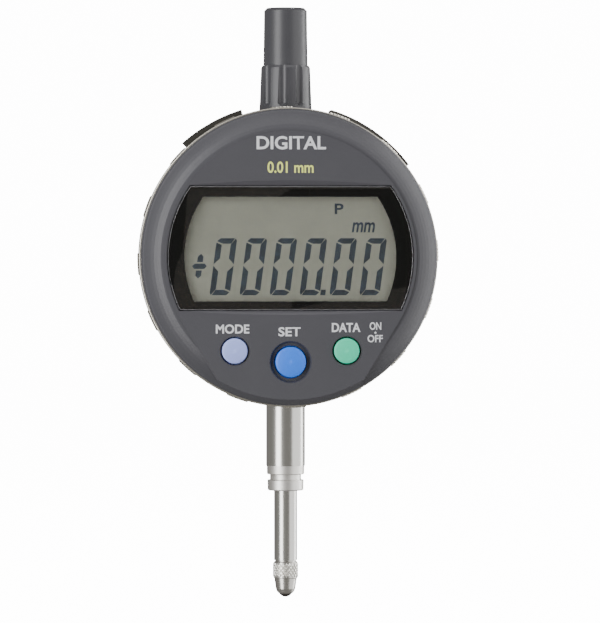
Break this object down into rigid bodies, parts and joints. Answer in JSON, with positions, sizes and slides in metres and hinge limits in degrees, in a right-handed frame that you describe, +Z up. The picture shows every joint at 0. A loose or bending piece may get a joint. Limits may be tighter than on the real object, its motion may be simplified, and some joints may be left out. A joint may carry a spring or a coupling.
{
  "type": "digital dial indicator",
  "caption": "Plunger-type dial indicator with digital display: sprung spindle in a plain stem, turning display head, push buttons, fluted spindle cap and slide-out battery tray.",
  "frame": {"origin": "on the spindle axis at the middle of the straight length of the clamping stem", "axes": "+Z up along the spindle axis, away from the contact point; -Y out of the display face; +X to the right of the display seen from the front"},
  "size_m": [0.0608, 0.0269, 0.1207],
  "materials": {
    "case_plastic": "fine moulded texture",
    "face_plastic": "fine satin paint on moulded plastic",
    "cap_plastic": "satin moulded plastic",
    "lug_plastic": "matt moulded plastic",
    "tray_plastic": "matt moulded plastic",
    "stainless": "turned and ground stainless steel",
    "grip_metal": "satin nickel with diamond knurling",
    "carbide": "polished tungsten carbide",
    "screw_steel": "zinc plated steel",
    "black_oxide": "black oxide steel",
    "bronze": "sintered bronze",
    "gold_contact": "gold flashed spring brass",
    "aluminium": "machined aluminium",
    "rubber": "matt nitrile rubber",
    "red_rubber": "matt silicone rubber",
    "circuit_board": "solder mask on glass epoxy",
    "chip_black": "moulded epoxy",
    "flex_film": "polyimide film",
    "scale_glass": "coated glass epoxy scale",
    "white_plastic": "low friction plastic",
    "lens_clear": "clear moulded acrylic",
    "mask_black": "gloss black print",
    "lcd_glass": "grey-green display glass",
    "button_lavender": "satin silicone",
    "button_blue": "satin silicone",
    "button_green": "satin silicone"
  },
  "bodies": {
    "case": {"case": "case_plastic", "back_plate": "case_plastic", "back_gasket": "rubber", "back_screws": "screw_steel", "stem": "stainless", "stem_nose": "stainless", "dust_seal": "rubber", "lower_bush": "bronze", "upper_bush": "bronze", "cap_nipple": "stainless", "cap_seal": "rubber", "spindle_cap": "cap_plastic", "reader_board": "circuit_board", "reader_chip": "chip_black", "reader_plate": "gold_contact", "board_screws": "screw_steel", "guide_rail": "aluminium", "rail_screws": "screw_steel", "spring_post": "screw_steel", "return_spring": "stainless", "stop_bumper": "rubber", "battery_contacts": "gold_contact", "data_socket": "chip_black", "socket_cover": "lug_plastic", "cover_screws": "screw_steel", "flex_cable": "flex_film", "retainer_ring": "aluminium", "retainer_screws": "screw_steel", "glide_washer": "white_plastic", "stop_pin": "stainless", "head_seal": "rubber"},
    "spindle": {"spindle": "stainless", "contact_point": "stainless", "contact_ball": "carbide", "scale_carrier": "aluminium", "scale_strip": "scale_glass", "carrier_screws": "black_oxide", "guide_pin": "stainless", "guide_roller": "bronze", "stop_collar": "aluminium"},
    "head": {"face_shell": "face_plastic", "grip_ring": "grip_metal", "window_lens": "lens_clear", "window_mask": "mask_black", "lcd_panel": "lcd_glass", "lcd_reflector": "white_plastic", "lcd_frame": "chip_black", "contact_strips": "red_rubber", "display_board": "circuit_board", "display_chip": "chip_black", "dome_switches": "stainless", "button_mat": "rubber", "head_screws": "screw_steel"},
    "mode_button": {"mode_button": "button_lavender"},
    "set_button": {"set_button": "button_blue"},
    "data_button": {"data_button": "button_green"},
    "battery_tray": {"battery_tray": "tray_plastic", "battery_cell": "stainless"}
  },
  "joints": [
    {"name": "spindle_slide", "type": "slide", "parent": "case", "child": "spindle", "axis": [0, 0, 1], "range_m": [0, 0.0127], "stiffness_N_per_m": 40, "springref_m": -0.02, "deforming": ["return_spring"]},
    {"name": "head_turn", "type": "hinge", "parent": "case", "child": "head", "pos_m": [0, 0, 0.036], "axis": [0, 1, 0], "range_deg": [-165, 165]},
    {"name": "mode_press", "type": "slide", "parent": "head", "child": "mode_button", "axis": [0, 1, 0], "range_m": [0, 0.0005], "stiffness_N_per_m": 1500, "springref_m": -0.0003},
    {"name": "set_press", "type": "slide", "parent": "head", "child": "set_button", "axis": [0, 1, 0], "range_m": [0, 0.0005], "stiffness_N_per_m": 1500, "springref_m": -0.0003},
    {"name": "data_press", "type": "slide", "parent": "head", "child": "data_button", "axis": [0, 1, 0], "range_m": [0, 0.0005], "stiffness_N_per_m": 1500, "springref_m": -0.0003},
    {"name": "tray_slide", "type": "slide", "parent": "case", "child": "battery_tray", "axis": [-0.4924, 0, 0.8704], "range_m": [0, 0.012]}
  ]
}
